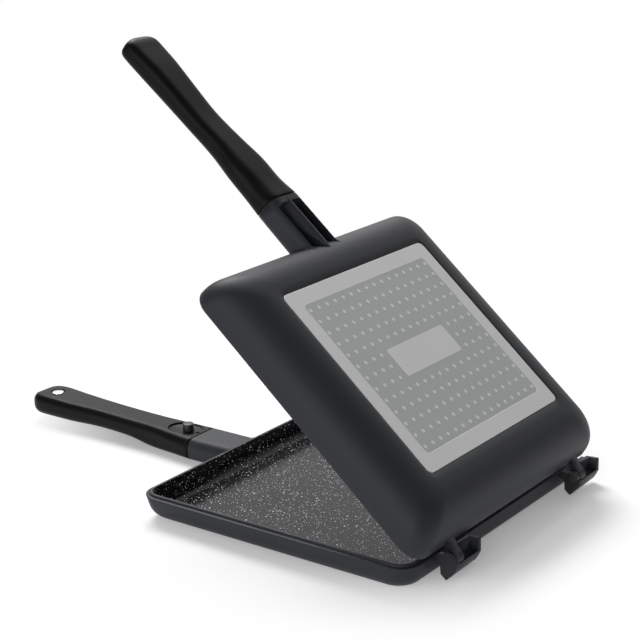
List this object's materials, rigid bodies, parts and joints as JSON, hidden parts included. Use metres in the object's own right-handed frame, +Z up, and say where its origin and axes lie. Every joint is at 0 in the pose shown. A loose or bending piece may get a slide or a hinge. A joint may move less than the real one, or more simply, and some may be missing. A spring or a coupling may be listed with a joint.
{
  "type": "hob sandwich maker",
  "caption": "Hob sandwich maker: square non-stick pans face to face, with magnetic handles, induction plates and a lift-out hinge, shown half open.",
  "frame": {"origin": "centre of the lower pan's base, on the hob", "axes": "+Z up, -Y along the handles away from the pans, +Y towards the hinge, +X along the hinge line"},
  "size_m": [0.17, 0.3316, 0.231],
  "materials": {
    "pan_coating": "cast aluminium under a dark satin coating, speckled non-stick inside",
    "induction_plate": "perforated steel plate, satin, with a grid of aluminium dots",
    "gasket": "matte",
    "grip": "heat-resistant moulding, fine matte grain",
    "magnet": "nickel plated",
    "black_steel": "blackened steel",
    "screw": "bright zinc"
  },
  "bodies": {
    "lower_half": {"lower_pan": "pan_coating", "lower_base_plate": "induction_plate", "lower_gasket": "gasket", "lower_grip": "grip", "lower_magnet": "magnet", "locating_post": "black_steel"},
    "hinge_pins": {"near_hinge_pin": "black_steel", "far_hinge_pin": "black_steel"},
    "upper_half": {"upper_pan": "pan_coating", "upper_base_plate": "induction_plate", "upper_gasket": "gasket", "upper_grip": "grip", "upper_magnet": "magnet", "grip_screw": "screw"}
  },
  "joints": [
    {"name": "lid_lift", "type": "slide", "parent": "lower_half", "child": "hinge_pins", "axis": [0, 0, 1], "range_m": [0, 0.02]},
    {"name": "lid_hinge", "type": "hinge", "parent": "hinge_pins", "child": "upper_half", "pos_m": [0, 0.0895, 0.0114], "axis": [-1, 0, 0], "range_deg": [-40.8, 64.2]}
  ]
}
